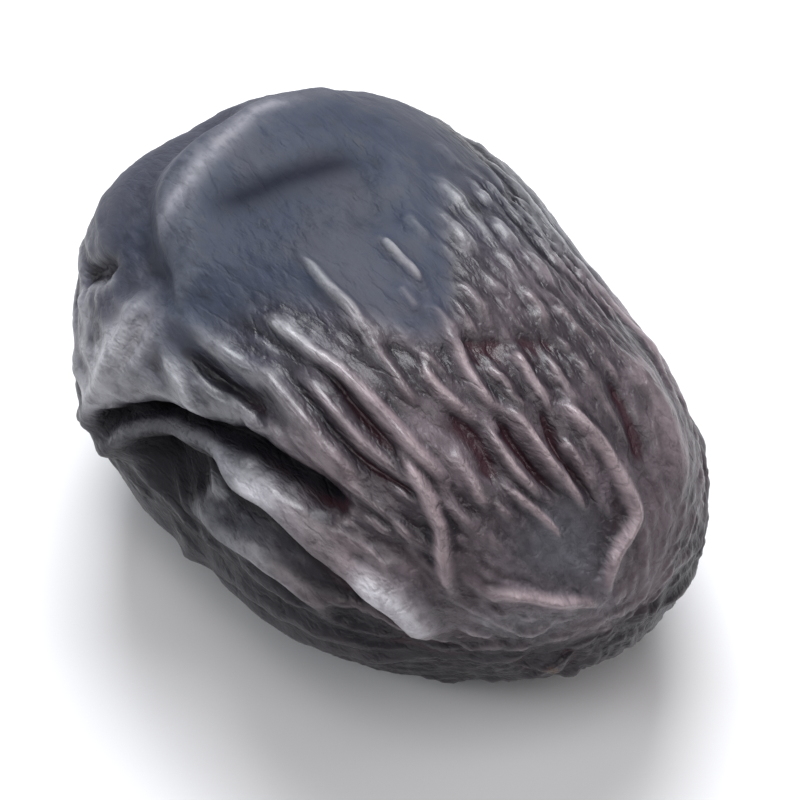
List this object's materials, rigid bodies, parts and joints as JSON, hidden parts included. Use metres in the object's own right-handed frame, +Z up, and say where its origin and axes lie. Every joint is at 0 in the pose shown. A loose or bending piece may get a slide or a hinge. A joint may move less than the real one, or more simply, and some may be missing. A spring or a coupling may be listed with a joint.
{
  "type": "ajwa date",
  "caption": "Whole dried date lying on its side: a short dark barrel of soft flesh with a folded, wrinkled skin, a smooth crown and a blunt tip.",
  "frame": {"origin": "on the surface that the date lies on, under the middle of its bounding box", "axes": "+X along the date from its stem end to its tip, +Z up, +Y to the left of +X seen from above; the folded flank faces -Y"},
  "size_m": [0.0305, 0.0228, 0.0196],
  "materials": {
    "skin": "near-black violet-brown dried skin, satin, with a thin slate-blue bloom on the smooth places and reddish brown ridges"
  },
  "bodies": {
    "root": {"date": "skin"}
  },
  "joints": []
}
